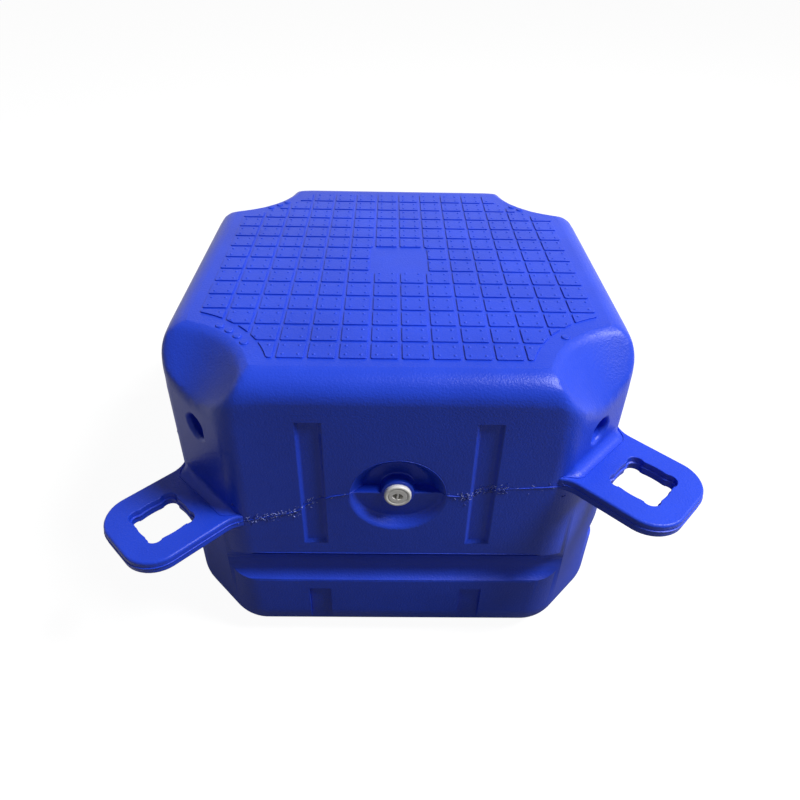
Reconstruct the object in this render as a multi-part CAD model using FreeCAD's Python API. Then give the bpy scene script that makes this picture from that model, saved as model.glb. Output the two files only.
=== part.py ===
# A floating dock cube: one blow-moulded float with four pin lugs at staggered levels, and its vent plug.
# Millimetres. X runs to the right and Y away from the side with the vent plug, Z is up.
# The origin is on the ground, under the centre of the deck.

import FreeCAD, Part
import math
import os

Vector = FreeCAD.Vector

# Float body
pin_spacing = 500.0            # from one pin axis to the next, so also from cube to joined cube
cube_gap = 3.0                 # between the walls of two joined cubes
deck_height = 398.5            # ground to the deck between the pads
upper_corner_gap = 57.0        # pin axis to the flat corner face above the lug
lower_corner_gap = 51.0        # pin axis to the flat corner face below the lug
upper_corner_radius = 36.0     # upright edges above the lug
deck_edge_radius = 28.0        # between the deck and the walls
ground_edge_radius = 54.0      # between the underside and the walls, and upright edges below the lug

# Corner scoops for the heads of the pins
scoop_rim_radius = 105.0       # round the pin axis, at deck level
scoop_drop = 57.5              # from the deck to where the scoop leaves the corner face
scoop_rim_roll = 15.0          # radius that rounds the rim into the deck
scoop_ridge_roll = 11.0        # radius that rounds the ridge between a scoop and the wall beside it
roll_crossing = 4.0            # degrees off tangent where a roll meets the deck, a wall or the scoop

# Blind dimples in the corner faces
dimple_height = 309.5
dimple_radius = 14.0
dimple_depth = 12.0
dimple_sides = 14

# Pin lugs, from the lowest to the highest
lowest_lug_top = 218.0
lug_step = 20.3
lug_thickness = 17.0
lug_half_width = 53.0
lug_reach = 52.4               # pin axis to the end of the lug
lug_corner_radius = 33.5
lug_flare_radius = 30.0        # where the lug widens into the walls
lug_flare_turn = 36.0          # degrees
lug_root_depth = 45.0          # how far the lug runs into the body behind the corner face
lug_corners = ((-1, -1), (-1, 1), (1, 1), (1, -1))

# Wavy pin hole in each lug, a square with a lobe at each corner and a bulge on each side
hole_lobe_centre = 17.9        # from the pin axis, along both sides
hole_lobe_radius = 9.0
hole_cusp_height = 25.3        # from the pin axis to where a lobe meets a bulge
hole_bulge_height = 26.5

# Tread pads on the deck
pad_count = 14
pad_pitch = 30.3
pad_gap = 4.0
pad_height = 1.5
pad_clear_radius = 128.0       # round each pin axis
bare_square_half = 35.5        # plain square at the centre of the deck
bare_square_radius = 5.0

# Studs that number the lug levels, one at the highest lug
stud_circle_radius = 116.5     # round the pin axis
stud_radius = 4.5
stud_height = 1.5
stud_sides = 8
stud_angle_step = 7.0          # degrees

# Upright ribs pressed into every wall, above the groove and below it
rib_inner = 75.5               # wall centre to the near edge
rib_outer = 101.0
rib_bottom = 176.5
rib_top = 349.5
rib_depth = 3.6
rib_slope = 3.2                # how far each flank leans in over the depth
low_rib_top = 94.5

# Handling groove along every wall
groove_height = 133.5
groove_half_height = 23.0
groove_depth = 15.5

# Dished recess with the neck of the vent, on the front wall
recess_height = 250.5
recess_radius = 50.0
recess_floor_radius = 36.0
recess_depth = 17.0
neck_radius = 17.5

# Vent plug
plug_head_radius = 14.3
plug_head_thickness = 4.0
plug_head_bevel = 1.2
plug_proud = 0.6               # head beyond the wall
plug_shank_radius = 9.5
plug_shank_length = 13.0
plug_thread_clearance = 0.3
plug_socket_radius = 4.9
plug_socket_depth = 3.0
plug_key_bar = 1.9             # web between the two halves of the socket

beyond = 20.0                  # how far cutting shapes run past the surface that they cut
close = 1e-6                   # heights and places closer than this are the same

half_side = (pin_spacing - cube_gap) / 2
pin_offset = pin_spacing / 2
scoop_slope = math.atan2(scoop_drop, scoop_rim_radius - upper_corner_gap)
groove_radius = (groove_half_height ** 2 + groove_depth ** 2) / (2 * groove_depth)
deck_half = pad_count * pad_pitch / 2
plug_seat = plug_proud - plug_head_thickness


def lug_top(level):
    return lowest_lug_top + level * lug_step


def lug_middle(level):
    return lug_top(level) - lug_thickness / 2


def box_between(low, high):
    size = Vector(*high) - Vector(*low)
    return Part.makeBox(size.x, size.y, size.z, Vector(*low))


def line(start, end):
    return Part.LineSegment(start, end).toShape()


def arc(start, middle, end):
    return Part.Arc(start, middle, end).toShape()


def prism(radius, sides, height):
    """A small round with flat sides, along Z from height 0."""
    corners = []
    for side in range(sides):
        turn = 2 * math.pi * side / sides
        corners.append(Vector(radius * math.cos(turn), radius * math.sin(turn), 0))
    return Part.Face(Part.makePolygon(corners + corners[:1])).extrude(Vector(0, 0, height))


def turned_to_corner(shape, corner, height=0.0):
    """Moves a shape from the corner's own frame, X outward from the pin axis and Z up, to its place."""
    turn = math.degrees(math.atan2(corner[1], corner[0]))
    placed = shape.copy()
    placed.rotate(Vector(0, 0, 0), Vector(0, 0, 1), turn)
    placed.translate(Vector(corner[0] * pin_offset, corner[1] * pin_offset, height))
    return placed


def on_every_corner(shape):
    return [turned_to_corner(shape, corner) for corner in lug_corners]


def on_every_wall(shape):
    """Copies of a shape made at the front wall, turned to all four walls."""
    copies = []
    for quarter in range(4):
        copy = shape.copy()
        copy.rotate(Vector(0, 0, 0), Vector(0, 0, 1), 90 * quarter)
        copies.append(copy)
    return copies


def facing_front(shape):
    """Moves a vent part, whose Z axis points out of the wall from its plane, onto the front wall."""
    placed = shape.copy()
    placed.rotate(Vector(0, 0, 0), Vector(1, 0, 0), 90)
    placed.translate(Vector(0, -half_side, recess_height))
    return placed


def is_upright(edge):
    ends = [vertex.Point for vertex in edge.Vertexes]
    return len(ends) == 2 and math.hypot(ends[0].x - ends[1].x, ends[0].y - ends[1].y) < close


def upright_edges(shape, low, high):
    return [edge for edge in shape.Edges if is_upright(edge) and low < edge.CenterOfMass.z < high]


def level_edges(shape, height):
    return [edge for edge in shape.Edges
            if abs(edge.BoundBox.ZMin - height) < close and abs(edge.BoundBox.ZMax - height) < close]


def corner_wedge(gap, low, high):
    """Everything outside a corner face that stands gap inside the pin axis, in the corner's frame."""
    return box_between((-gap, -pin_spacing, low), (pin_spacing, pin_spacing, high))


def blank():
    """The float without its details. Each corner face steps at the middle of its lug."""
    body = box_between((-half_side, -half_side, 0), (half_side, half_side, deck_height))
    for level, corner in enumerate(lug_corners):
        split = lug_middle(level)
        lower = corner_wedge(lower_corner_gap, -beyond, split)
        upper = corner_wedge(upper_corner_gap, split, deck_height + beyond)
        body = body.cut([turned_to_corner(lower, corner), turned_to_corner(upper, corner)])
    lowest = lug_middle(0)
    body = body.makeFillet(upper_corner_radius, upright_edges(body, lowest, deck_height))
    body = body.makeFillet(deck_edge_radius, level_edges(body, deck_height))
    return body.makeFillet(ground_edge_radius, upright_edges(body, 0, lowest) + level_edges(body, 0))


def scoop_hollow():
    """The space of a scoop: a cone round the pin axis, with a rim that rolls over into the deck."""
    crossing = math.radians(roll_crossing)
    middle_z = deck_height - scoop_rim_roll * math.cos(crossing)
    middle_x = (scoop_rim_radius + scoop_rim_roll
                * (1 - math.cos(crossing) * math.cos(scoop_slope)) / math.sin(scoop_slope))

    def on_roll(lean):
        return Vector(middle_x - scoop_rim_roll * math.sin(lean), 0, middle_z + scoop_rim_roll * math.cos(lean))

    apex = Vector(0, 0, deck_height - scoop_rim_radius * math.tan(scoop_slope))
    above = deck_height + beyond
    edges = [line(apex, on_roll(scoop_slope)), arc(on_roll(scoop_slope), on_roll(scoop_slope / 2), on_roll(0)),
             line(on_roll(0), Vector(middle_x, 0, above)), line(Vector(middle_x, 0, above), Vector(0, 0, above)),
             line(Vector(0, 0, above), apex)]
    return Part.Face(Part.Wire(edges)).revolve(Vector(0, 0, 0), Vector(0, 0, 1), 360)


def ridge_trim():
    """What the roll between a scoop and the wall beside it takes off, in the corner's frame."""
    half = math.sqrt(0.5)
    outward = Vector(half, half, 0)
    along_wall = Vector(-half, half, 0)
    rising = along_wall * math.cos(scoop_slope) + Vector(0, 0, math.sin(scoop_slope))
    hollow_side = Vector(0, 0, math.cos(scoop_slope)) - along_wall * math.sin(scoop_slope)
    reach = scoop_rim_radius
    bar = box_between((-scoop_ridge_roll, -scoop_ridge_roll, -reach), (beyond, beyond, reach))
    shift = scoop_ridge_roll * math.cos(math.radians(roll_crossing))
    bar = bar.cut(Part.makeCylinder(scoop_ridge_roll, 2 * reach, Vector(-shift, -shift, -reach)))
    start = outward * (half_side - pin_offset) + along_wall * scoop_rim_radius + Vector(0, 0, deck_height)
    bar.Placement = FreeCAD.Placement(start, FreeCAD.Rotation(outward, hollow_side, -rising, "XYZ"))
    return bar


def with_scoops(body):
    trim = ridge_trim()
    body = body.cut(on_every_corner(scoop_hollow()))
    body = body.cut(on_every_corner(trim))
    return body.cut(on_every_corner(trim.mirror(Vector(0, 0, 0), Vector(0, 1, 0))))


def with_dimples(body):
    dimple = prism(dimple_radius, dimple_sides, dimple_depth + beyond)
    dimple.rotate(Vector(0, 0, 0), Vector(0, 1, 0), 90)
    dimple.translate(Vector(-upper_corner_gap - dimple_depth, 0, dimple_height))
    return body.cut(on_every_corner(dimple))


def with_handling_grooves(body):
    axis = Vector(-pin_offset, groove_depth - groove_radius - half_side, groove_height)
    groove = Part.makeCylinder(groove_radius, pin_spacing, axis, Vector(1, 0, 0))
    return body.cut(on_every_wall(groove))


def rib_press(left, right):
    """A shallow press in the front wall with flanks that lean in."""

    def outline(depth):
        margin = depth * rib_slope / rib_depth
        low = Vector(left + margin, depth - half_side, rib_bottom + margin)
        high = Vector(right - margin, depth - half_side, rib_top - margin)
        corners = [low, Vector(high.x, low.y, low.z), high, Vector(low.x, low.y, high.z)]
        return Part.makePolygon(corners + corners[:1])

    return Part.makeLoft([outline(-rib_depth), outline(rib_depth)], True, True)


def with_ribs(body):
    presses = []
    for left, right in ((-rib_outer, -rib_inner), (rib_inner, rib_outer)):
        low_press = box_between((left, -half_side - beyond, -beyond),
                                (right, rib_depth - half_side, low_rib_top))
        presses += on_every_wall(rib_press(left, right)) + on_every_wall(low_press)
    return body.cut(presses)


def vent_recess():
    """The space of the dish round the neck, with Z out of the wall."""
    outline = [Vector(recess_radius, 0, beyond), Vector(recess_radius, 0, 0),
               Vector(recess_floor_radius, 0, -recess_depth), Vector(neck_radius, 0, -recess_depth),
               Vector(neck_radius, 0, plug_seat), Vector(0, 0, plug_seat), Vector(0, 0, beyond)]
    edges = [line(start, end) for start, end in zip(outline, outline[1:] + outline[:1])]
    return Part.Face(Part.Wire(edges)).revolve(Vector(0, 0, 0), Vector(0, 0, 1), 360)


def with_vent(body):
    bore_bottom = plug_seat - plug_shank_length - plug_thread_clearance
    bore = Part.makeCylinder(plug_shank_radius + plug_thread_clearance, beyond - bore_bottom,
                             Vector(0, 0, bore_bottom))
    return body.cut([facing_front(vent_recess()), facing_front(bore)])


def lug_side():
    """Half of a lug's outline, from the middle of its end to its root, with a tangent flare."""
    turn = math.radians(lug_flare_turn)
    root = -upper_corner_gap - lug_root_depth
    spread = lug_half_width + lug_flare_radius * (1 - math.cos(turn))
    flare_end = (half_side - pin_offset) * math.sqrt(2) - spread
    flare_start = flare_end + lug_flare_radius * math.sin(turn)
    flare_middle = Vector(flare_start - lug_flare_radius * math.sin(turn / 2),
                          lug_half_width + lug_flare_radius * (1 - math.cos(turn / 2)), 0)
    round_centre = Vector(lug_reach - lug_corner_radius, lug_half_width - lug_corner_radius, 0)
    diagonal = lug_corner_radius / math.sqrt(2)
    round_start = Vector(lug_reach, round_centre.y, 0)
    round_end = Vector(round_centre.x, lug_half_width, 0)
    side_end = Vector(flare_start, lug_half_width, 0)
    spread_point = Vector(flare_end, spread, 0)
    return [line(Vector(lug_reach, 0, 0), round_start),
            arc(round_start, round_centre + Vector(diagonal, diagonal, 0), round_end),
            line(round_end, side_end),
            arc(side_end, flare_middle, spread_point),
            line(spread_point, Vector(root, spread, 0)),
            line(Vector(root, spread, 0), Vector(root, 0, 0))]


def pin_hole():
    """The wavy square hole, from height 0 down through a lug."""
    cusp_height = hole_cusp_height - hole_lobe_centre
    cusp = hole_lobe_centre - math.sqrt(hole_lobe_radius ** 2 - cusp_height ** 2)
    tip = hole_lobe_centre + hole_lobe_radius / math.sqrt(2)
    bulge = arc(Vector(-cusp, hole_cusp_height, 0), Vector(0, hole_bulge_height, 0),
                Vector(cusp, hole_cusp_height, 0))
    lobe = arc(Vector(cusp, hole_cusp_height, 0), Vector(tip, tip, 0), Vector(hole_cusp_height, cusp, 0))
    edges = []
    for quarter in range(4):
        for piece in (bulge, lobe):
            copy = piece.copy()
            copy.rotate(Vector(0, 0, 0), Vector(0, 0, 1), -90 * quarter)
            edges.append(copy)
    return Part.Face(Part.Wire(edges)).extrude(Vector(0, 0, -lug_thickness))


def lug():
    """A lug with its hole, its top at height 0, in the corner's frame."""
    side = lug_side()
    other_side = [edge.mirror(Vector(0, 0, 0), Vector(0, 1, 0)) for edge in side]
    outline = Part.Wire(Part.__sortEdges__(side + other_side))
    plate = Part.Face(outline).extrude(Vector(0, 0, -lug_thickness))
    return plate.cut(pin_hole())


def lugs():
    shape = lug()
    return [turned_to_corner(shape, corner, lug_top(level)) for level, corner in enumerate(lug_corners)]


def tread_pads():
    """The square pads of the deck, cut back round the scoops and round the bare square."""
    below = deck_height - beyond
    above = deck_height + beyond
    half = deck_half - pad_gap / 2
    slab = box_between((-half, -half, deck_height), (half, half, deck_height + pad_height))
    cutters = on_every_corner(Part.makeCylinder(pad_clear_radius, above - below, Vector(0, 0, below)))
    for number in range(1, pad_count):
        middle = number * pad_pitch - deck_half
        cutters.append(box_between((middle - pad_gap / 2, -deck_half, below),
                                   (middle + pad_gap / 2, deck_half, above)))
        cutters.append(box_between((-deck_half, middle - pad_gap / 2, below),
                                   (deck_half, middle + pad_gap / 2, above)))
    bare = box_between((-bare_square_half, -bare_square_half, below),
                       (bare_square_half, bare_square_half, above))
    cutters.append(bare.makeFillet(bare_square_radius, upright_edges(bare, below, above)))
    return slab.cut(cutters)


def level_studs():
    """Studs beside each scoop that tell how far down its lug is: one at the highest lug."""
    studs = []
    for level, corner in enumerate(lug_corners):
        count = len(lug_corners) - level
        for number in range(count):
            turn = math.radians((number - (count - 1) / 2) * stud_angle_step)
            stud = prism(stud_radius, stud_sides, beyond + stud_height)
            stud.translate(Vector(-math.cos(turn), math.sin(turn), 0) * stud_circle_radius)
            studs.append(turned_to_corner(stud, corner, deck_height - beyond))
    return studs


def float_body():
    body = with_scoops(blank())
    body = with_dimples(body)
    body = with_handling_grooves(body)
    body = with_ribs(body)
    body = with_vent(body)
    body = body.fuse(lugs())
    return body.fuse([tread_pads()] + level_studs())


def vent_plug():
    """The screwed plug: its head seats on the neck, and its shank stands in the bore."""
    head = Part.makeCylinder(plug_head_radius, plug_head_thickness, Vector(0, 0, plug_seat))
    head = head.makeChamfer(plug_head_bevel, level_edges(head, plug_proud))
    shank = Part.makeCylinder(plug_shank_radius, plug_shank_length, Vector(0, 0, plug_seat - plug_shank_length))
    socket_floor = plug_proud - plug_socket_depth
    socket = Part.makeCylinder(plug_socket_radius, beyond, Vector(0, 0, socket_floor))
    bar = box_between((-plug_key_bar / 2, -beyond, socket_floor), (plug_key_bar / 2, beyond, 2 * beyond))
    return facing_front(head.fuse(shank).cut(socket.cut(bar)))


os.makedirs("parts", exist_ok=True)
for name, shape in (("float_body", float_body()), ("vent_plug", vent_plug())):
    shape.exportStep("parts/" + name + ".step")
    print(name, "valid:", shape.isValid(), "solids:", len(shape.Solids), "cubic mm:", round(shape.Volume))
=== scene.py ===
# The looks of the floating dock cube: satin blue plastic with rounded edges, tread pips and a mould seam,
# and a pale vent plug.
# Metres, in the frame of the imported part: X to the right, Y away from the wall with the vent plug, Z up.
import itertools
import math
import random

import bmesh
import bpy
from mathutils import Matrix, Vector
from mathutils.bvhtree import BVHTree


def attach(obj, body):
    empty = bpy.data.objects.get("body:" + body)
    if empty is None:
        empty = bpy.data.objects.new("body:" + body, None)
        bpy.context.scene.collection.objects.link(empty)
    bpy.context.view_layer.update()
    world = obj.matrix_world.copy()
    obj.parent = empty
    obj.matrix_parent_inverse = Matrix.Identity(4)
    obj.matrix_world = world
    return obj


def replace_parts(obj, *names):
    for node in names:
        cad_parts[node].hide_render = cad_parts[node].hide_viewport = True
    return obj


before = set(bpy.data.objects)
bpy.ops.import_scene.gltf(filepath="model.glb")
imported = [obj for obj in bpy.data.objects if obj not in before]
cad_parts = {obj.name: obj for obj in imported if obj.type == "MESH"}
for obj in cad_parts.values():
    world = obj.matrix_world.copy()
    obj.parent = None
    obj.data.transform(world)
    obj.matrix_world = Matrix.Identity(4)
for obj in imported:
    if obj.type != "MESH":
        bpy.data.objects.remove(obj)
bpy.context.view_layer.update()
MM = 0.001
QUARTER_TURN = math.radians(90)
FULL_TURN = math.radians(360)
DIAGONAL = math.sqrt(0.5)                  # share of a length at 45 degrees that goes along each axis
AXES = (Vector((1, 0, 0)), Vector((0, 1, 0)), Vector((0, 0, 1)))
WALLS = range(4)                           # quarter turns from the front wall: front, right, back, left

# Camera, fitted to the photograph
IMAGE_SIZE = 800
CAMERA_PLACE = Vector((-12.81, -724.77, 759.53)) * MM
CAMERA_AZIMUTH = math.radians(-1.12)
CAMERA_ELEVATION = math.radians(35.65)
CAMERA_ROLL = math.radians(1.32)
FOCAL_PIXELS = 657.72
IMAGE_CENTRE = (397.42, 365.77)
SENSOR_WIDTH = 36.0

# Light: one soft lamp high on the right, a dim world, and a floor that throws a little back
KEY_TARGET = Vector((0.0, 0.0, 0.25))
KEY_SIDE = Vector((0.567, -0.16, 0.815))
KEY_DISTANCE = 3.0
KEY_SIZE = 1.1
KEY_WATTS = 125.0
WORLD_LIGHT = 0.10
WHITE = (1.0, 1.0, 1.0, 1.0)
STAGE_GREY = (0.14, 0.14, 0.14, 1.0)
STAGE_GLOW = 0.95
STAGE_CONTACT = 1.0                        # how far the object darkens the floor that shows in its gloss
STAGE_CONTACT_POWER = 5.0
FLOOR_HALF = 15.0

# Plastics: the two ends of each one's colours, as a place on its pattern and a colour
FLOAT_COLOURS = ((0.3, (0.010, 0.045, 0.53)), (0.7, (0.016, 0.061, 0.65)))
TORN_COLOURS = ((0.45, (0.006, 0.02, 0.25)), (0.60, (0.32, 0.38, 0.75)))
PLUG_COLOURS = ((0.3, (0.84, 0.82, 0.78)), (0.7, (0.92, 0.91, 0.89)))

# Float, as in the CAD
HALF_SIDE = 248.5 * MM
PIN_OFFSET = 250.0 * MM
DECK_HEIGHT = 398.5 * MM
PAD_TOP = 400.0 * MM
UPPER_CORNER = (57.0 * MM, 36.0 * MM)      # pin axis to the corner face, and radius of its upright edges
LOWER_CORNER = (51.0 * MM, 54.0 * MM)
LUG_CORNERS = ((-1, -1), (-1, 1), (1, 1), (1, -1))          # from the lowest lug to the highest
LOWEST_LUG_TOP = 218.0 * MM
LUG_STEP = 20.3 * MM
LUG_THICKNESS = 17.0 * MM
LUG_END = 310.57 * MM                      # how far a lug reaches from the middle, along either axis
GROOVE_HEIGHT = 133.5 * MM
GROOVE_HALF_HEIGHT = 23.0 * MM
RECESS_HEIGHT = 250.5 * MM
RECESS_RADIUS = 50.0 * MM
RECESS_FLOOR_RADIUS = 36.0 * MM
RECESS_DEPTH = 17.0 * MM
NECK_RADIUS = 17.5 * MM
DIMPLE_HEIGHT = 309.5 * MM
DIMPLE_RADIUS = 14.0 * MM
PRESS_SIDES = (74.0 * MM, 102.5 * MM)
PRESS_ENDS = (170.0 * MM, 352.0 * MM)
PRESS_DEPTH = 3.6 * MM
PAD_COUNT = 14
PAD_PITCH = 30.3 * MM
PAD_CLEAR_RADIUS = 128.0 * MM              # no pad is nearer to a pin axis
BARE_SQUARE_HALF = 35.5 * MM

# Limits that tell the CAD's places and edges apart
HOLE_REACH = 38.0 * MM                     # from a pin axis past the tips of its hole
STUD_REACH = 122.0 * MM                    # from a pin axis to the far side of its studs
NEAR = 0.3 * MM                            # places closer than this are the same
WELD = NEAR / 30                           # points closer than this become one
SECTION_NEAR = NEAR / 300                  # points this near to a section's level are on it
UNDER_DECK = NEAR / 10                     # points this far below the deck aren't on it
FLAT_FOLD = math.radians(0.3)              # faces that meet more flatly than this become one
UPRIGHT = 0.99                             # upward part of an edge's direction, above which it is upright
FLAT_DECK = 0.9999                         # upward part of the normal, above which a face is deck
HARD_EDGE = math.radians(50.0)             # sharper folds stay sharp in the shading
ROUND_PROFILE = 0.5                        # of a bevel that is a true arc

# Softened corners round the scoops
SOFT_REACH = 124.0 * MM                    # from the pin axis, along both walls
SOFT_BOTTOM = 331.0 * MM
SOFT_GRID = 3.4 * MM
SOFT_ROUNDS = 16
SOFT_PULL = 0.5                            # how far a point goes to the middle of its neighbours each time
SOFT_FADE = 14.0 * MM                      # over this distance the softening sets in
SOFT_MERGE = 1.2 * MM                      # points closer than this become one first

# Pips on the tread pads
PIP_SPREAD = 0.25                          # from a pad's middle along both its sides, in pitches
PIP_RADIUS = 1.9 * MM
PIP_HEIGHT = 0.9 * MM
PIP_SIDES = 8
PIP_RINGS = 3

# Forms added to the shell, which gives way to them so that the whole stays in the CAD's box
SUNK = 1.0 * MM                            # how far an added form reaches into what carries it
RIDGE_TOP_SHARE = 0.35                     # a ridge's width at its top over its width at its foot
SETTLE_HEIGHT = 350.0 * MM                 # above it the shell sinks, by the height of a pip at the pads
SETTLE_REACH = 300.0 * MM                  # beyond it a lug draws in, by the height of its seam at the end

# Ledge that fills the lower half of the recess
LEDGE_TOP = 1.0 * MM                       # above the plug's axis
LEDGE_DEPTH = 4.5 * MM                     # of its front behind the wall, at its top
LEDGE_LEAN = 0.16                          # how much deeper the front lies for each step down
LEDGE_EDGE = 1.4 * MM                      # radius of its upper edge
LEDGE_FILLET = 6.0 * MM                    # radius that joins it to the recess's cone
LEDGE_STEPS = 36
LEDGE_FACES = 4

# Vent plug: rings of its head and shank, each a radius and a height out of the wall in millimetres
PLUG_RINGS = ((9.0, 0.42), (9.4, 0.42), (9.7, 0.10), (10.4, 0.05), (10.8, 0.40), (11.2, 0.60),
              (11.9, 0.72), (12.8, 0.72), (13.5, 0.45), (14.0, -0.05), (14.25, -0.7), (14.3, -1.4),
              (14.3, -3.4), (9.5, -3.4), (9.5, -16.4))
PLUG_SIDES = 72
SOCKET_HALF_WIDTH = 5.7 * MM
SOCKET_HALF_HEIGHT = 4.7 * MM
SOCKET_BAR_HALF = 0.75 * MM
SOCKET_TURN = math.radians(-9)
SOCKET_SIDES = 14
SOCKET_RINGS = ((1.0, 0.42), (0.94, 0.05), (0.92, -15.0))   # share of its outline, and height as above

# Hollow fillets where the lugs meet the body
LUG_FILLET = 12.0 * MM
LUG_FILLET_LEAST = 0.3 * MM
LUG_FILLET_REACH = 55.0 * MM               # half of its length, across the corner
LUG_FILLET_FADE = 16.0 * MM                # over which it runs out at each end
LUG_FILLET_STEPS = 44
LUG_FILLET_FACES = 7
LUG_CREASE_HALF_WIDTH = 0.8 * MM           # of the fine raised line along the fillet's outer edge
LUG_CREASE_HEIGHT = 0.8 * MM
BEND_SHARE = math.tan(math.radians(22.5))  # where faces meet at 45 degrees, an arc's reach over its radius

# Mould seam along each wall, from the lug at the left end to the one at the right, and round the lugs
SEAM_SEED = 7
SEAM_REACH = 176.0 * MM                    # half of its length on a wall
SEAM_STEP = 1.5 * MM
SEAM_HALF_WIDTH = 0.9 * MM
SEAM_HEIGHTS = (0.06 * MM, 1.14 * MM)
SEAM_WANDER = 0.5 * MM
SEAM_NECK_GAP = 3.0 * MM                   # from the plug's neck
DRIFT_PULL = 0.25                          # how far a drifting number goes to the next draw each time
FRONT_SEAM = ((-176, 208.5), (-157, 213), (-108, 226), (-96, 234), (-70, 249.5), (-49.5, 254), (-18, 252.5),
              (18, 252), (50, 252.5), (77, 250), (85, 256), (105, 262), (166.5, 267), (176, 271))    # mm
SEAM_BENDS = 8                             # parts of the seam on each other wall
SEAM_BEND_HEIGHT = 2.5 * MM                # that these leave an even climb by, at most
LUG_SEAM_HALF_WIDTH = 1.3 * MM
LUG_SEAM_HEIGHT = 0.8 * MM
LUG_SECTION_SHIFT = 0.4 * MM               # from a lug's middle, where the corner faces step
HOLE_LEDGE_HALF_WIDTH = 1.9 * MM
HOLE_LEDGE_HEIGHT = 1.5 * MM

# Torn bits of flash beside the seam
FLASH_SEED = 11
FLASH_COUNTS = (420, 70, 70, 70)           # on each wall
FLASH_ROUGH_PLACES = ((-165, -90), (65, 112))               # where most on the front wall are, in millimetres
FLASH_SPREAD = 3.2 * MM
FLASH_LENGTHS = (0.8 * MM, 3.2 * MM)
FLASH_STEP = 0.6 * MM
FLASH_LEAST_STEPS = 3
FLASH_LEAN = 1.2                           # greatest rise over run
FLASH_HALF_WIDTH = 0.28 * MM
FLASH_HEIGHTS = (0.3 * MM, 1.1 * MM)

# Fine raised lips: over the grooves and round the recess
LIP_HALF_WIDTH = 0.8 * MM
LIP_HEIGHT = 0.45 * MM
LIP_STEP = 2.0 * MM
LIP_RISE = 6.0                             # how steeply its ends come up
GROOVE_LIP_GAP = 2.6 * MM                  # above the groove's edge
GROOVE_LIP_REACH = 160.0 * MM
RECESS_LIP_GAP = 0.6 * MM                  # outside the recess's edge
RECESS_LIP_TURNS = range(-12, 193, 2)      # degrees, from the right over the top


def make_camera():
    sin_a, cos_a = math.sin(CAMERA_AZIMUTH), math.cos(CAMERA_AZIMUTH)
    sin_e, cos_e = math.sin(CAMERA_ELEVATION), math.cos(CAMERA_ELEVATION)
    sin_r, cos_r = math.sin(CAMERA_ROLL), math.cos(CAMERA_ROLL)
    back = Vector((sin_a * cos_e, -cos_a * cos_e, sin_e))
    right = Vector((cos_a, sin_a, 0))
    up = back.cross(right)
    axes = Matrix((cos_r * right + sin_r * up, cos_r * up - sin_r * right, back)).transposed()
    data = bpy.data.cameras.new("camera")
    data.sensor_width = SENSOR_WIDTH
    data.lens = FOCAL_PIXELS * SENSOR_WIDTH / IMAGE_SIZE
    data.shift_x = (IMAGE_SIZE / 2 - IMAGE_CENTRE[0]) / IMAGE_SIZE
    data.shift_y = (IMAGE_CENTRE[1] - IMAGE_SIZE / 2) / IMAGE_SIZE
    camera = bpy.data.objects.new("camera", data)
    camera.matrix_world = Matrix.Translation(CAMERA_PLACE) @ axes.to_4x4()
    bpy.context.scene.collection.objects.link(camera)
    bpy.context.scene.camera = camera


class Nodes:
    """A short way to write the nodes of a material or of the world."""

    def __init__(self, owner):
        self.owner = owner
        owner.use_nodes = True
        self.tree = owner.node_tree
        self.tree.nodes.clear()

    def put(self, socket, value):
        if isinstance(value, bpy.types.NodeSocket):
            self.tree.links.new(value, socket)
        else:
            socket.default_value = value

    def add(self, kind, **inputs):
        node = self.tree.nodes.new(kind)
        for key, value in inputs.items():
            self.put(node.inputs[key.replace("_", " ")], value)
        return node

    def work_out(self, operation, first, second):
        node = self.add("ShaderNodeMath")
        node.operation = operation
        self.put(node.inputs[0], first)
        self.put(node.inputs[1], second)
        return node.outputs["Value"]

    def mix(self, share, first, second):
        node = self.add("ShaderNodeMixShader", Fac=share)
        self.put(node.inputs[1], first)
        self.put(node.inputs[2], second)
        return node.outputs["Shader"]

    def ramp(self, pattern, ends):
        """A colour that follows a pattern, between two ends."""
        node = self.add("ShaderNodeValToRGB", Fac=pattern)
        for element, (place, colour) in zip(node.color_ramp.elements, ends):
            element.position = place
            element.color = (*colour, 1.0)
        return node.outputs["Color"]

    def shows_white(self):
        """Whether the camera, a reflection or a clear material looks at the backdrop."""
        path = self.add("ShaderNodeLightPath")
        either = self.work_out("MAXIMUM", path.outputs["Is Camera Ray"], path.outputs["Is Glossy Ray"])
        return self.work_out("MAXIMUM", either, path.outputs["Is Transmission Ray"])

    def plastic(self, **inputs):
        shader = self.add("ShaderNodeBsdfPrincipled", **inputs)
        self.add("ShaderNodeOutputMaterial", Surface=shader.outputs["BSDF"])
        return self.owner


def float_plastic():
    n = Nodes(bpy.data.materials.new("float_plastic"))
    place = n.add("ShaderNodeTexCoord").outputs["Object"]
    grain = n.add("ShaderNodeTexNoise", Vector=place, Scale=430.0, Detail=3.0, Roughness=0.6)
    patches = n.add("ShaderNodeTexNoise", Vector=place, Scale=9.0, Detail=4.0, Roughness=0.55)
    waves = n.add("ShaderNodeTexNoise", Vector=place, Scale=16.0, Detail=1.0)
    colour = n.ramp(patches.outputs["Fac"], FLOAT_COLOURS)
    rough = n.add("ShaderNodeMapRange", Value=patches.outputs["Fac"], To_Min=0.34, To_Max=0.42)
    broad = n.add("ShaderNodeBump", Height=waves.outputs["Fac"], Strength=0.10, Distance=2.0 * MM)
    fine = n.add("ShaderNodeBump", Height=grain.outputs["Fac"], Strength=0.8, Distance=0.5 * MM,
                 Normal=broad.outputs["Normal"])
    return n.plastic(Base_Color=colour, Roughness=rough.outputs["Result"], Specular_IOR_Level=0.25,
                     Normal=fine.outputs["Normal"])


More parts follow.
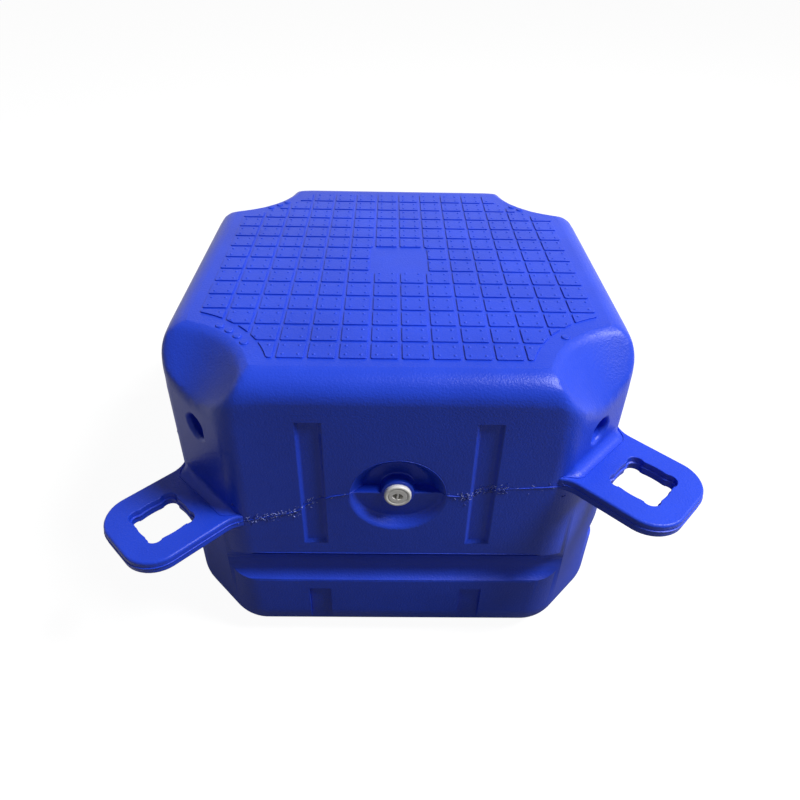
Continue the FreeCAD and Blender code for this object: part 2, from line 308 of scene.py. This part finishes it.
def torn_plastic():
    """Flash is paler where it is torn."""
    n = Nodes(bpy.data.materials.new("torn_plastic"))
    place = n.add("ShaderNodeTexCoord").outputs["Object"]
    torn = n.add("ShaderNodeTexNoise", Vector=place, Scale=260.0, Detail=3.0)
    return n.plastic(Base_Color=n.ramp(torn.outputs["Fac"], TORN_COLOURS), Roughness=0.5)


def plug_plastic():
    n = Nodes(bpy.data.materials.new("plug_plastic"))
    place = n.add("ShaderNodeTexCoord").outputs["Object"]
    grain = n.add("ShaderNodeTexNoise", Vector=place, Scale=900.0, Detail=3.0)
    tint = n.add("ShaderNodeTexNoise", Vector=place, Scale=120.0, Detail=3.0)
    fine = n.add("ShaderNodeBump", Height=grain.outputs["Fac"], Strength=0.25, Distance=0.2 * MM)
    return n.plastic(Base_Color=n.ramp(tint.outputs["Fac"], PLUG_COLOURS), Roughness=0.38,
                     Normal=fine.outputs["Normal"])


def stage_white():
    """White to whatever looks at it, less the object's shadow, and a dim grey in the light it throws back."""
    n = Nodes(bpy.data.materials.new("stage_white"))
    near = n.add("ShaderNodeAmbientOcclusion", Distance=STAGE_CONTACT)
    dimmed = n.work_out("POWER", near.outputs["AO"], STAGE_CONTACT_POWER)
    straight = n.add("ShaderNodeLightPath").outputs["Is Camera Ray"]
    strength = n.work_out("MULTIPLY", n.work_out("MAXIMUM", straight, dimmed), STAGE_GLOW)
    glow = n.add("ShaderNodeEmission", Color=WHITE, Strength=strength)
    lit = n.add("ShaderNodeBsdfDiffuse", Color=STAGE_GREY)
    seen = n.add("ShaderNodeAddShader")
    n.put(seen.inputs[0], glow.outputs["Emission"])
    n.put(seen.inputs[1], lit.outputs["BSDF"])
    surface = n.mix(n.shows_white(), lit.outputs["BSDF"], seen.outputs["Shader"])
    n.add("ShaderNodeOutputMaterial", Surface=surface)
    return n.owner


def make_floor():
    mesh = bpy.data.meshes.new("floor")
    corners = [(x * FLOOR_HALF, y * FLOOR_HALF, 0) for x, y in ((-1, -1), (1, -1), (1, 1), (-1, 1))]
    mesh.from_pydata(corners, [], [range(len(corners))])
    floor = bpy.data.objects.new("floor", mesh)
    mesh.materials.append(stage_white())
    bpy.context.scene.collection.objects.link(floor)


def make_world():
    n = Nodes(bpy.data.worlds.new("world"))
    dim = n.add("ShaderNodeBackground", Color=WHITE, Strength=WORLD_LIGHT)
    white = n.add("ShaderNodeBackground", Color=WHITE)
    surface = n.mix(n.shows_white(), dim.outputs["Background"], white.outputs["Background"])
    n.add("ShaderNodeOutputWorld", Surface=surface)
    bpy.context.scene.world = n.owner


def make_key_lamp():
    data = bpy.data.lights.new("key", "AREA")
    data.shape = "DISK"
    data.size = KEY_SIZE
    data.energy = KEY_WATTS
    key = bpy.data.objects.new("key", data)
    aim = KEY_SIDE.to_track_quat("Z", "Y").to_matrix().to_4x4()
    key.matrix_world = Matrix.Translation(KEY_TARGET + KEY_SIDE.normalized() * KEY_DISTANCE) @ aim
    bpy.context.scene.collection.objects.link(key)


def lug_top(corner):
    return LOWEST_LUG_TOP + LUG_CORNERS.index(corner) * LUG_STEP


def from_pin(corner, x, y):
    """How far a place is from a corner's pin axis."""
    return math.hypot(x - corner[0] * PIN_OFFSET, y - corner[1] * PIN_OFFSET)


def outward(corner, place):
    """How far a place is from a corner's pin axis, along the diagonal."""
    return ((place.x * corner[0] - PIN_OFFSET) + (place.y * corner[1] - PIN_OFFSET)) * DIAGONAL


def from_corner(corner, out, across, height):
    """A point given outward from a pin axis, across and up, in the part's frame."""
    return Vector((corner[0] * (PIN_OFFSET + out * DIAGONAL) - corner[1] * across * DIAGONAL,
                   corner[1] * (PIN_OFFSET + out * DIAGONAL) + corner[0] * across * DIAGONAL, height))


def eased(share):
    """A share from 0 to 1 that sets out and arrives gently."""
    return share * share * (3 - 2 * share)


class Fold:
    """An edge of the float, with what the rounding asks about it."""

    def __init__(self, edge):
        self.ends = [vert.co for vert in edge.verts]
        self.middle = (self.ends[0] + self.ends[1]) / 2
        self.turn = math.degrees(edge.calc_face_angle_signed(0.0))
        self.upright = abs((self.ends[1] - self.ends[0]).normalized().z) > UPRIGHT
        self.from_pin, self.corner = min(
            (from_pin(corner, self.middle.x, self.middle.y), corner) for corner in LUG_CORNERS)

    def at_height(self, height):
        return all(abs(end.z - height) < NEAR for end in self.ends)

    def behind_wall(self, depth):
        """Whether both ends lie this deep behind the plane of one wall."""
        return any(all(abs(side * end[axis] - HALF_SIDE + depth) < NEAR for end in self.ends)
                   for axis in (0, 1) for side in (-1, 1))

    def vent_ring(self, radius):
        return self.middle.y < -RECESS_RADIUS and all(
            abs(math.hypot(end.x, end.z - RECESS_HEIGHT) - radius) < 2 * NEAR for end in self.ends)

    def pad_upright(self):
        return self.upright and min(end.z for end in self.ends) > DECK_HEIGHT - NEAR

    def pad_rim(self):
        return self.at_height(PAD_TOP) and self.from_pin > STUD_REACH

    def stud_rim(self):
        return self.at_height(PAD_TOP) and self.from_pin < STUD_REACH

    def lug_edge(self):
        top = lug_top(self.corner)
        return self.at_height(top) or self.at_height(top - LUG_THICKNESS)

    def lug_rim(self):
        return self.lug_edge() and self.from_pin > HOLE_REACH

    def hole_rim(self):
        return self.lug_edge() and self.from_pin < HOLE_REACH

    def hole_upright(self):
        return self.upright and self.from_pin < HOLE_REACH

    def groove_lip(self):
        return self.behind_wall(0) and (self.at_height(GROOVE_HEIGHT - GROOVE_HALF_HEIGHT)
                                        or self.at_height(GROOVE_HEIGHT + GROOVE_HALF_HEIGHT))

    def in_press(self, depth):
        beside = [min(abs(end.x), abs(end.y)) for end in self.ends]
        return (self.behind_wall(depth) and PRESS_ENDS[0] < self.middle.z < PRESS_ENDS[1]
                and PRESS_SIDES[0] < min(beside) and max(beside) < PRESS_SIDES[1])

    def dimple_mouth(self):
        return (abs(self.middle.z - DIMPLE_HEIGHT) < DIMPLE_RADIUS + NEAR
                and all(abs(outward(self.corner, end) + UPPER_CORNER[0]) < NEAR for end in self.ends))


# Roundings of the float's edges: which folds, their least and greatest turn in degrees, radius and segments
ROUNDINGS = (
    (Fold.pad_upright, 50, 180, 1.8 * MM, 3),
    (Fold.pad_rim, 20, 180, 0.45 * MM, 2),
    (Fold.stud_rim, 20, 180, 1.2 * MM, 3),
    (Fold.hole_upright, 20, 90, 2.4 * MM, 3),
    (Fold.hole_rim, 60, 120, 1.0 * MM, 2),
    (Fold.lug_rim, 60, 120, 3.0 * MM, 4),
    (Fold.groove_lip, 20, 90, 3.0 * MM, 4),
    (lambda fold: fold.vent_ring(RECESS_RADIUS), 20, 120, 2.5 * MM, 4),
    (lambda fold: fold.vent_ring(RECESS_FLOOR_RADIUS), -90, -20, 3.5 * MM, 4),
    (lambda fold: fold.vent_ring(NECK_RADIUS), 60, 120, 1.6 * MM, 3),
    (lambda fold: fold.vent_ring(NECK_RADIUS), -120, -60, 2.0 * MM, 3),
    (lambda fold: fold.in_press(0), 20, 90, 1.0 * MM, 2),
    (lambda fold: fold.in_press(PRESS_DEPTH), -90, -20, 1.0 * MM, 2),
    (Fold.dimple_mouth, 60, 120, 5.0 * MM, 5),
)


def welded(name):
    """A CAD node's mesh as one closed skin, its flat faces in one piece each."""
    skin = bmesh.new()
    skin.from_mesh(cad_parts[name].data)
    bmesh.ops.remove_doubles(skin, verts=skin.verts, dist=WELD)
    bmesh.ops.dissolve_limit(skin, angle_limit=FLAT_FOLD, verts=skin.verts, edges=skin.edges)
    return skin


def round_folds(skin, chosen, least, most, radius, segments):
    """Rounds the chosen folds, as far as their turn lies between two limits."""
    edges = []
    for edge in skin.edges:
        fold = Fold(edge)
        if least < fold.turn < most and chosen(fold):
            edges.append(edge)
    bmesh.ops.bevel(skin, geom=edges, offset=radius, offset_type="OFFSET", segments=segments,
                    profile=ROUND_PROFILE, affect="EDGES", clamp_overlap=False, loop_slide=True)


def whole(skin):
    return skin.verts[:] + skin.edges[:] + skin.faces[:]


def with_parts(faces):
    """Faces with their points and edges, each once."""
    return list(dict.fromkeys(part for face in faces for part in (*face.verts, *face.edges))) + faces


def cut_level(skin, geometry, axis, place, near=WELD):
    """Cuts geometry along the plane at this place on an axis: what it is then, and what lies on the cut."""
    normal = AXES[axis]
    cut = bmesh.ops.bisect_plane(skin, geom=geometry, plane_co=normal * place, plane_no=normal, dist=near)
    return cut["geom"], cut["geom_cut"]


def quarter_flat(skin, corner, height):
    """Divides a lug's flat side along the axes through its pin, so that no face there has a hole in it."""
    faces = [face for face in skin.faces if all(
        abs(vert.co.z - height) < NEAR and corner[0] * vert.co.x > 0 and corner[1] * vert.co.y > 0
        for vert in face.verts)]
    geometry = with_parts(faces)
    for axis in (0, 1):
        geometry, _ = cut_level(skin, geometry, axis, corner[axis] * PIN_OFFSET)
    inside = {part for part in geometry if isinstance(part, bmesh.types.BMFace)}
    bridges = [part for part in geometry if isinstance(part, bmesh.types.BMEdge)
               and inside.issuperset(part.link_faces)
               and all(any(abs(vert.co[axis] - corner[axis] * PIN_OFFSET) > NEAR for vert in part.verts)
                       for axis in (0, 1))]
    bmesh.ops.dissolve_edges(skin, edges=bridges)


def soft_margin(place, corner):
    """How far a place lies inside the softened neighbourhood of a corner."""
    return min(corner[0] * place.x - PIN_OFFSET + SOFT_REACH, corner[1] * place.y - PIN_OFFSET + SOFT_REACH,
               place.z - SOFT_BOTTOM)


def divide_scoop(skin, corner):
    """Divides the skin round a scoop into small faces, and gives their points below the deck."""
    faces = []
    for face in skin.faces:
        middle = face.calc_center_median()
        if face.normal.z < FLAT_DECK and soft_margin(middle, corner) > 0 and middle.z < DECK_HEIGHT:
            faces.append(face)
    geometry = with_parts(faces)
    for axis, side in enumerate((*corner, 1)):
        low, high = (SOFT_BOTTOM, DECK_HEIGHT) if axis == 2 else (PIN_OFFSET - SOFT_REACH, HALF_SIDE)
        for step in range(1, math.ceil((high - low) / SOFT_GRID)):
            geometry, _ = cut_level(skin, geometry, axis, side * (low + step * SOFT_GRID))
    return [part for part in geometry if isinstance(part, bmesh.types.BMVert)
            and part.co.z < DECK_HEIGHT - UNDER_DECK]


def relax(skin, verts, corner):
    """Smooths the points round a scoop, so that the ridges run out softly."""
    inner = [vert for vert in verts if soft_margin(vert.co, corner) > NEAR]
    bmesh.ops.remove_doubles(skin, verts=inner, dist=SOFT_MERGE)
    verts = [vert for vert in verts if vert.is_valid]
    for turn in range(SOFT_ROUNDS):
        border = SOFT_FADE * (turn + 1) / SOFT_ROUNDS
        inner = [vert for vert in verts if soft_margin(vert.co, corner) > border]
        bmesh.ops.smooth_vert(skin, verts=inner, factor=SOFT_PULL,
                              use_axis_x=True, use_axis_y=True, use_axis_z=True)


def soften_scoops(skin):
    border = PIN_OFFSET - SOFT_REACH
    for axis, place in ((0, -border), (0, border), (1, -border), (1, border), (2, SOFT_BOTTOM)):
        cut_level(skin, whole(skin), axis, place)
    for corner in LUG_CORNERS:
        relax(skin, divide_scoop(skin, corner), corner)


def settle(skin):
    """Sinks the pads and draws in the lugs' ends."""
    for vert in skin.verts:
        vert.co.z -= PIP_HEIGHT * max(0.0, vert.co.z - SETTLE_HEIGHT) / (PAD_TOP - SETTLE_HEIGHT)
        for axis in (0, 1):
            beyond = max(0.0, abs(vert.co[axis]) - SETTLE_REACH) / (LUG_END - SETTLE_REACH)
            vert.co[axis] -= math.copysign(LUG_SEAM_HEIGHT * beyond, vert.co[axis])


def rounded_float():
    skin = welded("float_body")
    for corner in LUG_CORNERS:
        for height in (lug_top(corner), lug_top(corner) - LUG_THICKNESS):
            quarter_flat(skin, corner, height)
    for rounding in ROUNDINGS:
        round_folds(skin, *rounding)
    soften_scoops(skin)
    settle(skin)
    return skin


def make_piece(name, skin, material):
    """Turns a bmesh into a smooth-shaded piece that rides on the float."""
    bmesh.ops.recalc_face_normals(skin, faces=skin.faces)
    for face in skin.faces:
        face.smooth = True
    for edge in skin.edges:
        edge.smooth = len(edge.link_faces) == 2 and edge.calc_face_angle() < HARD_EDGE
    mesh = bpy.data.meshes.new(name)
    skin.to_mesh(mesh)
    skin.free()
    mesh.materials.append(material)
    piece = bpy.data.objects.new(name, mesh)
    bpy.context.scene.collection.objects.link(piece)
    normals = piece.modifiers.new("normals", "WEIGHTED_NORMAL")
    normals.keep_sharp = True
    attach(piece, "root")
    return piece


def connect(skin, rings, closed=False):
    """Skins each ring of points with the next one, and gives the rings as points of the skin."""
    loops = [[skin.verts.new(point) for point in ring] for ring in rings]
    for first, second in zip(loops, loops[1:] + loops[:1] if closed else loops[1:]):
        for index in range(len(first)):
            skin.faces.new((first[index - 1], first[index], second[index], second[index - 1]))
    return loops


def connect_and_cap(skin, rings):
    loops = connect(skin, rings)
    skin.faces.new(loops[0][::-1])
    skin.faces.new(loops[-1])


def ridge(skin, track, half_width, closed=False):
    """A low ridge along a track of points, each with the direction out of the surface and a height."""
    rings = []
    for index, (point, out, height) in enumerate(track):
        before = track[index - 1 if closed else max(index - 1, 0)][0]
        after = track[(index + 1) % len(track) if closed else min(index + 1, len(track) - 1)][0]
        side = (after - before).normalized().cross(out).normalized() * half_width
        top = out * height
        foot = out * SUNK
        rings.append((point - side - foot, point - side * RIDGE_TOP_SHARE + top,
                      point + side * RIDGE_TOP_SHARE + top, point + side - foot))
    if closed:
        connect(skin, rings, closed)
    else:
        connect_and_cap(skin, rings)


def junction(corner_shape, across):
    """Where the body's surface meets a lug, in the corner's frame, and the way out of the body there."""
    gap, radius = corner_shape
    flat = gap - (PIN_OFFSET - HALF_SIDE) * math.sqrt(2) - radius * BEND_SHARE
    lean = max(0.0, (abs(across) - flat) / radius)
    upright = math.sqrt(1 - lean ** 2)
    return -gap - radius * (1 - upright), Vector((upright, math.copysign(lean, across)))


def fillet_ring(corner, height, up, corner_shape, across):
    """One section of a fillet: hollow towards the air, and sunk into the lug and the body."""
    start, way = junction(corner_shape, across)
    share = min(1.0, (LUG_FILLET_REACH - abs(across)) / LUG_FILLET_FADE)
    radius = LUG_FILLET_LEAST + (LUG_FILLET - LUG_FILLET_LEAST) * eased(share)
    turns = [QUARTER_TURN * step / LUG_FILLET_FACES for step in range(LUG_FILLET_FACES + 1)]
    profile = [(radius * (1 - math.sin(turn)), radius * (1 - math.cos(turn))) for turn in turns]
    profile += [(-SUNK, profile[-1][1]), (-SUNK, -SUNK), (profile[0][0], -SUNK)]
    return [from_corner(corner, start + way.x * out, across + way.y * out, height + up * lift)
            for out, lift in profile]


def make_lug_fillets(material):
    skin = bmesh.new()
    stations = [LUG_FILLET_REACH * (2 * step / LUG_FILLET_STEPS - 1) for step in range(LUG_FILLET_STEPS + 1)]
    for corner in LUG_CORNERS:
        top = lug_top(corner)
        for height, up, shape in ((top, 1, UPPER_CORNER), (top - LUG_THICKNESS, -1, LOWER_CORNER)):
            rings = [fillet_ring(corner, height, up, shape, across) for across in stations]
            connect_and_cap(skin, rings)
            if up > 0:
                ridge(skin, [(ring[0], AXES[2], LUG_CREASE_HEIGHT) for ring in rings], LUG_CREASE_HALF_WIDTH)
    return make_piece("lug_fillets", skin, material)


def onto_wall(tree, wall, along, height):
    """The place and outward direction of the skin at a spot on one of the four walls."""
    turn = Matrix.Rotation(QUARTER_TURN * wall, 3, "Z")
    place, normal, _, _ = tree.ray_cast(turn @ Vector((along, -PIN_OFFSET, height)), turn @ AXES[1])
    return place, normal


def seam_height(points, along):
    """How high a line of points lies at a place along the wall."""
    for (left, low), (right, high) in zip(points, points[1:]):
        if along <= right:
            return low + (high - low) * max(0.0, (along - left) / (right - left))
    return points[-1][1]


def wall_seam(wall):
    """The seam's line on a wall: measured on the front, and an uneven climb of that kind elsewhere."""
    if wall == 0:
        return [(along * MM, height * MM) for along, height in FRONT_SEAM]
    left, right = (lug_top(LUG_CORNERS[-wall - end]) - LUG_THICKNESS / 2 for end in (0, 1))
    points = []
    for step in range(SEAM_BENDS + 1):
        share = step / SEAM_BENDS
        wander = random.uniform(-SEAM_BEND_HEIGHT, SEAM_BEND_HEIGHT) * math.sin(math.pi * share)
        points.append(((2 * share - 1) * SEAM_REACH, left + (right - left) * eased(share) + wander))
    return points


def drifting(count, least, most):
    """Random numbers that drift between two limits."""
    value = random.uniform(least, most)
    values = []
    for _ in range(count):
        value += (random.uniform(least, most) - value) * DRIFT_PULL
        values.append(value)
    return values


def wall_ridges(skin, tree, wall):
    points = wall_seam(wall)
    count = int(2 * SEAM_REACH / SEAM_STEP) + 1
    wander = drifting(count, -SEAM_WANDER, SEAM_WANDER)
    heights = drifting(count, *SEAM_HEIGHTS)
    track = []
    for step in range(count):
        along = step * SEAM_STEP - SEAM_REACH
        place, normal = onto_wall(tree, wall, along, seam_height(points, along) + wander[step])
        on_plug = wall == 0 and abs(along) < NECK_RADIUS + SEAM_NECK_GAP
        if not on_plug:
            track.append((place, normal, heights[step]))
        if (on_plug or step == count - 1) and len(track) > 1:
            ridge(skin, track, SEAM_HALF_WIDTH)
            track = []


def level_chains(skin, height, wanted):
    """The chains of points in which a level cuts the skin, as far as they are wanted."""
    copy = skin.copy()
    _, on_cut = cut_level(copy, whole(copy), 2, height, SECTION_NEAR)
    links = {}
    for edge in on_cut:
        if isinstance(edge, bmesh.types.BMEdge) and all(wanted(vert.co) for vert in edge.verts):
            for vert, other in (edge.verts, reversed(edge.verts)):
                links.setdefault(vert, []).append(other)
    chains = []
    while links:
        start = next((vert for vert in links if len(links[vert]) == 1), next(iter(links)))
        chain, vert = [start], start
        while vert is not None:
            step = next((other for other in links.pop(vert) if other in links), None)
            if step is not None:
                chain.append(step)
            vert = step
        chains.append([vert.co.copy() for vert in chain])
    copy.free()
    return chains


def lug_ridges(skin, shell_skin, tree, corner):
    """The seam round a lug's edge, and the ledge in its hole."""
    height = lug_top(corner) - LUG_THICKNESS / 2 + LUG_SECTION_SHIFT

    def in_hole(place):
        return from_pin(corner, place.x, place.y) < HOLE_REACH

    def on_lug(place):
        return not in_hole(place) and outward(corner, place) > -UPPER_CORNER[0] - SUNK

    for wanted, half_width, tallness, closed in (
            (on_lug, LUG_SEAM_HALF_WIDTH, LUG_SEAM_HEIGHT, False),
            (in_hole, HOLE_LEDGE_HALF_WIDTH, HOLE_LEDGE_HEIGHT, True)):
        chain = max(level_chains(shell_skin, height, wanted), key=len)
        ridge(skin, [(place, tree.find_nearest(place)[1], tallness) for place in chain], half_width, closed)


def make_mould_seam(shell_skin, tree, material):
    random.seed(SEAM_SEED)
    skin = bmesh.new()
    for wall in WALLS:
        wall_ridges(skin, tree, wall)
    for corner in LUG_CORNERS:
        lug_ridges(skin, shell_skin, tree, corner)
    return make_piece("mould_seam", skin, material)


def flash_place(wall):
    """Where along a wall a bit of flash starts: on the front it is mostly at the rough places."""
    anywhere = random.uniform(-SEAM_REACH, SEAM_REACH)
    rough = [random.uniform(*ends) * MM for ends in FLASH_ROUGH_PLACES * 2]
    return random.choice([anywhere] + rough) if wall == 0 else anywhere


def wall_flash(skin, tree, wall):
    points = wall_seam(wall)
    for _ in range(FLASH_COUNTS[wall]):
        along = flash_place(wall)
        length = random.uniform(*FLASH_LENGTHS)
        lean = random.uniform(-FLASH_LEAN, FLASH_LEAN)
        off = random.gauss(0, FLASH_SPREAD)
        tallness = random.uniform(*FLASH_HEIGHTS)
        if wall == 0 and abs(along) < RECESS_RADIUS + length:
            continue
        steps = max(FLASH_LEAST_STEPS, int(length / FLASH_STEP))
        track = []
        for step in range(steps + 1):
            share = step / steps
            spot = along + length * share
            height = seam_height(points, spot) + off + lean * length * share
            place, normal = onto_wall(tree, wall, spot, height)
            track.append((place, normal, tallness * math.sin(math.pi * share)))
        ridge(skin, track, FLASH_HALF_WIDTH)


def make_seam_flash(tree, material):
    random.seed(FLASH_SEED)
    skin = bmesh.new()
    for wall in WALLS:
        wall_flash(skin, tree, wall)
    return make_piece("seam_flash", skin, material)


def lip(skin, tree, wall, spots):
    """A fine raised line along spots on a wall, which fades at both ends."""
    track = []
    for index, (along, height) in enumerate(spots):
        place, normal = onto_wall(tree, wall, along, height)
        rise = min(1.0, LIP_RISE * math.sin(math.pi * index / (len(spots) - 1)))
        track.append((place, normal, LIP_HEIGHT * rise))
    ridge(skin, track, LIP_HALF_WIDTH)


def make_lips(tree, material):
    skin = bmesh.new()
    count = int(2 * GROOVE_LIP_REACH / LIP_STEP)
    height = GROOVE_HEIGHT + GROOVE_HALF_HEIGHT + GROOVE_LIP_GAP
    spots = [(GROOVE_LIP_REACH * (2 * step / count - 1), height) for step in range(count + 1)]
    for wall in WALLS:
        lip(skin, tree, wall, spots)
    radius = RECESS_RADIUS + RECESS_LIP_GAP
    turns = [math.radians(turn) for turn in RECESS_LIP_TURNS]
    lip(skin, tree, 0, [(radius * math.cos(turn), RECESS_HEIGHT + radius * math.sin(turn)) for turn in turns])
    return make_piece("fine_lips", skin, material)


def plug_point(across, up, out):
    """A point given from the plug's axis in the wall's plane."""
    return Vector((across, -HALF_SIDE - out, RECESS_HEIGHT + up))


def round_plug(radius, turn, out):
    """A point given from the same place by a radius and a turn."""
    return plug_point(radius * math.cos(turn), radius * math.sin(turn), out)


def cone_radius(depth):
    """Radius of the recess's side at a depth behind the wall."""
    return RECESS_RADIUS - (RECESS_RADIUS - RECESS_FLOOR_RADIUS) * depth / RECESS_DEPTH


def ledge_section(inner_front, front):
    """The ledge's section from the neck to the cone, each point a radius and a depth behind the wall."""
    points = [(NECK_RADIUS - SUNK, inner_front), (NECK_RADIUS, inner_front)]
    steepness = math.atan2(RECESS_DEPTH, RECESS_RADIUS - RECESS_FLOOR_RADIUS)
    edge = front - LEDGE_FILLET * (1 - math.cos(steepness))
    start = cone_radius(edge) - LEDGE_FILLET * math.sin(steepness)
    for step in range(LEDGE_FACES + 1):
        turn = steepness * step / LEDGE_FACES
        points.append((start + LEDGE_FILLET * math.sin(turn), front - LEDGE_FILLET * (1 - math.cos(turn))))
    back = RECESS_DEPTH + SUNK
    return points + [(cone_radius(edge) + SUNK, edge), (cone_radius(back) + SUNK, back),
                     (NECK_RADIUS - SUNK, back)]


def ledge_ring(step):
    """One section of the ledge. Before step 0 and after the last one it goes round the upper edge."""
    past = max(0, -step, step - LEDGE_STEPS) / LEDGE_FACES
    drop = LEDGE_EDGE * (1 - math.sin(QUARTER_TURN * past))
    rounding = LEDGE_EDGE * (1 - math.cos(QUARTER_TURN * past))
    share = min(max(step / LEDGE_STEPS, 0.0), 1.0)

    def turned(radius):
        start = math.asin((LEDGE_TOP - drop) / radius)
        return start - (math.pi + 2 * start) * share

    fronts = [LEDGE_DEPTH + rounding + LEDGE_LEAN * (LEDGE_TOP - radius * math.sin(turned(radius)))
              for radius in (NECK_RADIUS, RECESS_FLOOR_RADIUS)]
    return [round_plug(radius, turned(radius), -depth) for radius, depth in ledge_section(*fronts)]


def make_recess_ledge(material):
    skin = bmesh.new()
    connect_and_cap(skin, [ledge_ring(step) for step in range(-LEDGE_FACES, LEDGE_STEPS + LEDGE_FACES + 1)])
    return make_piece("recess_ledge", skin, material)


def plug_rings():
    turns = [FULL_TURN * side / PLUG_SIDES for side in range(PLUG_SIDES)]
    return [[round_plug(radius * MM, turn, out * MM) for turn in turns] for radius, out in PLUG_RINGS]


def socket_outline(side):
    """One half of the key socket, as points round it from its bar."""
    start = math.asin(SOCKET_BAR_HALF / SOCKET_HALF_WIDTH)
    points = []
    for step in range(SOCKET_SIDES + 1):
        turn = start + (math.pi - 2 * start) * step / SOCKET_SIDES
        points.append((side * SOCKET_HALF_WIDTH * math.sin(turn), SOCKET_HALF_HEIGHT * math.cos(turn)))
    cos_t, sin_t = math.cos(SOCKET_TURN), math.sin(SOCKET_TURN)
    return [(across * cos_t - up * sin_t, across * sin_t + up * cos_t) for across, up in points]


def socket_rings(side):
    """One half of the key socket, from the plug's face to its bottom."""
    outline = socket_outline(side)
    middle = [sum(point[axis] for point in outline) / len(outline) for axis in (0, 1)]
    return [[plug_point(*(middle[axis] + (point[axis] - middle[axis]) * share for axis in (0, 1)), out * MM)
             for point in outline] for share, out in SOCKET_RINGS]


def make_plug_shell(material):
    skin = bmesh.new()
    borders = []
    for rings in (plug_rings(), socket_rings(-1), socket_rings(1)):
        loops = connect(skin, rings)
        skin.faces.new(loops[-1])
        borders.append(loops[0])
    edges = [skin.edges.get((loop[index - 1], loop[index])) for loop in borders for index in range(len(loop))]
    bmesh.ops.triangle_fill(skin, edges=edges, use_beauty=True)
    return make_piece("plug_shell", skin, material)


def pip_places():
    """Four pips on each tread pad, where the pad isn't cut away."""
    pads = range(PAD_COUNT)
    for column, row, side, end in itertools.product(pads, pads, (-1, 1), (-1, 1)):
        x = (column + 0.5 - PAD_COUNT / 2 + side * PIP_SPREAD) * PAD_PITCH
        y = (row + 0.5 - PAD_COUNT / 2 + end * PIP_SPREAD) * PAD_PITCH
        clear = min(from_pin(corner, x, y) for corner in LUG_CORNERS) > PAD_CLEAR_RADIUS + PIP_RADIUS
        if clear and max(abs(x), abs(y)) > BARE_SQUARE_HALF + PIP_RADIUS:
            yield x, y


def pip_ring(x, y, ring):
    lift = QUARTER_TURN * ring / PIP_RINGS
    radius = PIP_RADIUS * math.cos(lift)
    height = PAD_TOP - (PIP_HEIGHT + NEAR) * (1 - math.sin(lift))
    turns = [FULL_TURN * side / PIP_SIDES for side in range(PIP_SIDES)]
    return [(x + radius * math.cos(turn), y + radius * math.sin(turn), height) for turn in turns]


def make_tread_pips(material):
    skin = bmesh.new()
    for x, y in pip_places():
        loops = connect(skin, [pip_ring(x, y, ring) for ring in range(PIP_RINGS)])
        skin.faces.new(loops[0][::-1])
        top = skin.verts.new((x, y, PAD_TOP))
        for side in range(PIP_SIDES):
            skin.faces.new((loops[-1][side - 1], loops[-1][side], top))
    return make_piece("tread_pips", skin, material)


make_camera()
make_floor()
make_world()
make_key_lamp()
blue = float_plastic()
float_skin = rounded_float()
tree = BVHTree.FromBMesh(float_skin)
make_mould_seam(float_skin, tree, blue)
make_seam_flash(tree, torn_plastic())
make_lips(tree, blue)
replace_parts(make_piece("float_shell", float_skin, blue), "float_body")
make_tread_pips(blue)
make_lug_fillets(blue)
make_recess_ledge(blue)
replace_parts(make_plug_shell(plug_plastic()), "vent_plug")

bpy.context.scene.view_settings.view_transform = "Standard"
